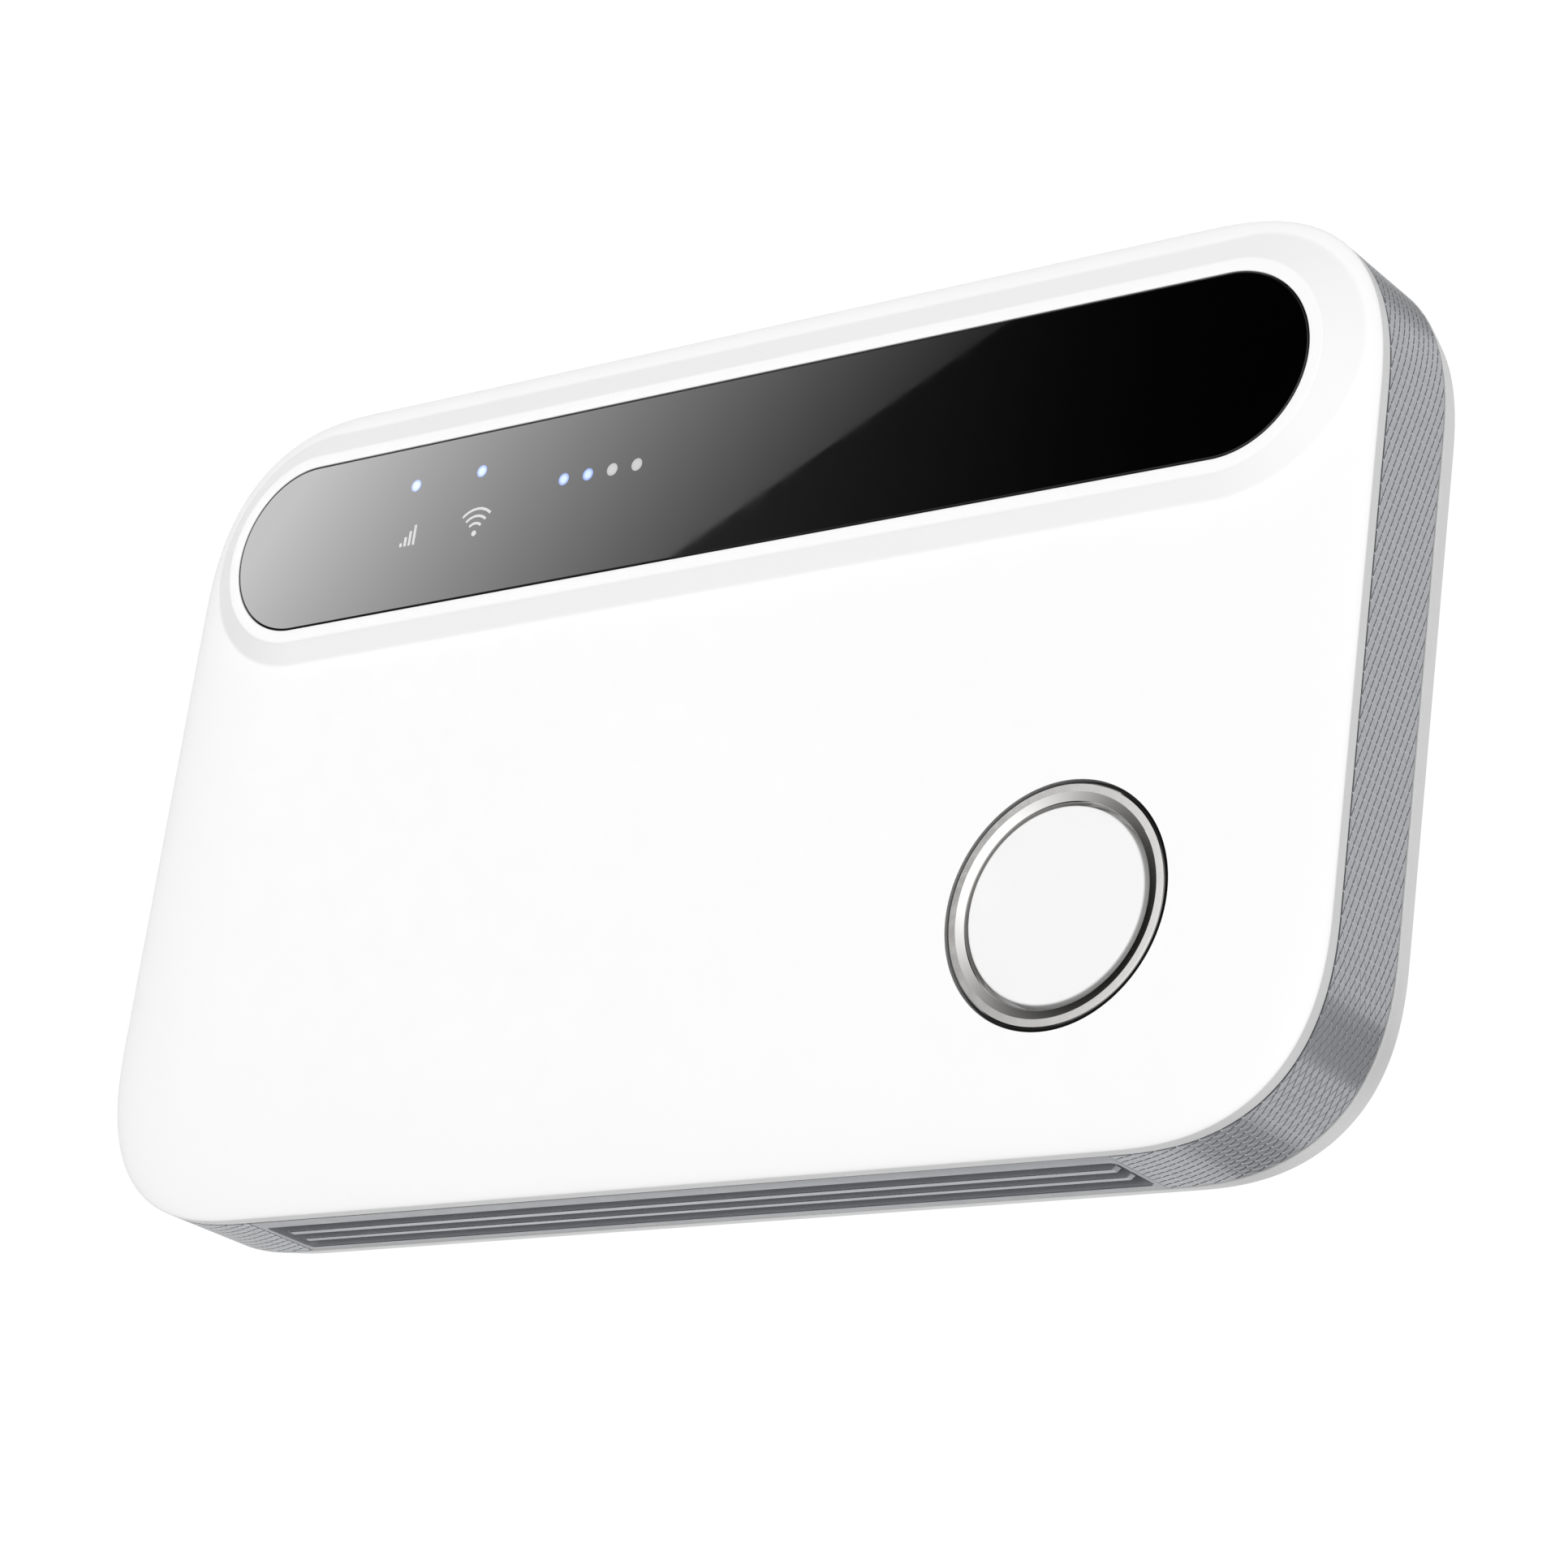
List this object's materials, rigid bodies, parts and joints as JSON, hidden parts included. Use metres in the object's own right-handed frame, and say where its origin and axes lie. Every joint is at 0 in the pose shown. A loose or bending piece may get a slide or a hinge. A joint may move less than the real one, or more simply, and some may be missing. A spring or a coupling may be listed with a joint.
{
  "type": "mobile hotspot",
  "caption": "Pocket wireless router: white rounded casing around a grey knurled band, with a long dark status window and a round power button in a chrome ring.",
  "frame": {"origin": "middle of the flat back face, which the device lies on", "axes": "+X along the width, to the button's side; +Y across it, towards the status window; +Z out of the front face"},
  "size_m": [0.1, 0.0614, 0.0131],
  "materials": {
    "white": "satin white moulded plastic",
    "lens": "smoked, mirror-smooth acrylic",
    "chrome": "bright plated ring",
    "silver_paint": "satin silver-grey metallic paint, knurled",
    "black_plastic": "matt black",
    "tape": "black foam tape",
    "board": "green solder mask",
    "steel": "tin-plated steel",
    "chip": "moulded black epoxy",
    "ferrite": "dark grey ferrite",
    "capacitor": "tan ceramic",
    "pad": "soft grey foam",
    "led": "clear moulded lens",
    "brass": "gold-plated copper alloy",
    "battery": "black shrink wrap",
    "card": "white card plastic"
  },
  "bodies": {
    "back_cover": {"back_cover": "white", "battery_foam_pad": "pad"},
    "main_unit": {"front_shell": "white", "window_lens": "lens", "lens_adhesive": "tape", "button_trim_ring": "chrome", "side_band": "silver_paint", "chassis": "black_plastic", "tact_switch_body": "steel", "reset_switch_body": "steel", "led_shroud": "black_plastic", "signal_led": "led", "wifi_led": "led", "battery_led_1": "led", "battery_led_2": "led", "battery_led_3": "led", "battery_led_4": "led", "main_pcb": "board", "modem_shield_can": "steel", "wifi_shield_can": "steel", "modem_chip": "chip", "wifi_chip": "chip", "power_ic": "chip", "power_inductor": "ferrite", "power_capacitor": "capacitor", "thermal_pad": "pad", "usb_c_shell": "steel", "usb_c_tongue": "black_plastic", "sim_connector": "steel", "main_antenna": "brass", "diversity_antenna": "brass", "wifi_antenna": "brass", "battery_connector": "black_plastic", "battery_contact_1": "brass", "battery_contact_2": "brass", "battery_contact_3": "brass", "pcb_screw_1": "steel", "pcb_screw_2": "steel", "pcb_screw_3": "steel", "pcb_screw_4": "steel"},
    "battery": {"battery_pack": "battery"},
    "power_button": {"power_button_cap": "white"},
    "power_plunger": {"tact_switch_plunger": "black_plastic"},
    "sim_tray": {"sim_tray": "silver_paint", "sim_card": "card"},
    "reset_button": {"reset_button": "black_plastic"}
  },
  "joints": [
    {"name": "cover_release", "type": "slide", "parent": "back_cover", "child": "main_unit", "axis": [0, 0, 1], "range_m": [0, 0.025]},
    {"name": "battery_removal", "type": "slide", "parent": "main_unit", "child": "battery", "axis": [0, 0, -1], "range_m": [0, 0.011]},
    {"name": "power_press", "type": "slide", "parent": "main_unit", "child": "power_button", "axis": [0, 0, -1], "range_m": [0, 0.0003], "stiffness_N_per_m": 400},
    {"name": "plunger_press", "type": "slide", "parent": "main_unit", "child": "power_plunger", "axis": [0, 0, -1], "range_m": [0, 0.0003]},
    {"name": "sim_eject", "type": "slide", "parent": "main_unit", "child": "sim_tray", "axis": [0, 1, 0], "range_m": [0, 0.017]},
    {"name": "reset_press", "type": "slide", "parent": "main_unit", "child": "reset_button", "axis": [0, -1, 0], "range_m": [0, 0.0003], "stiffness_N_per_m": 300}
  ],
  "couplings": [
    {"joint": "battery_removal", "follows": "cover_release", "ratio": 0.44},
    {"joint": "plunger_press", "follows": "power_press", "ratio": 1}
  ]
}
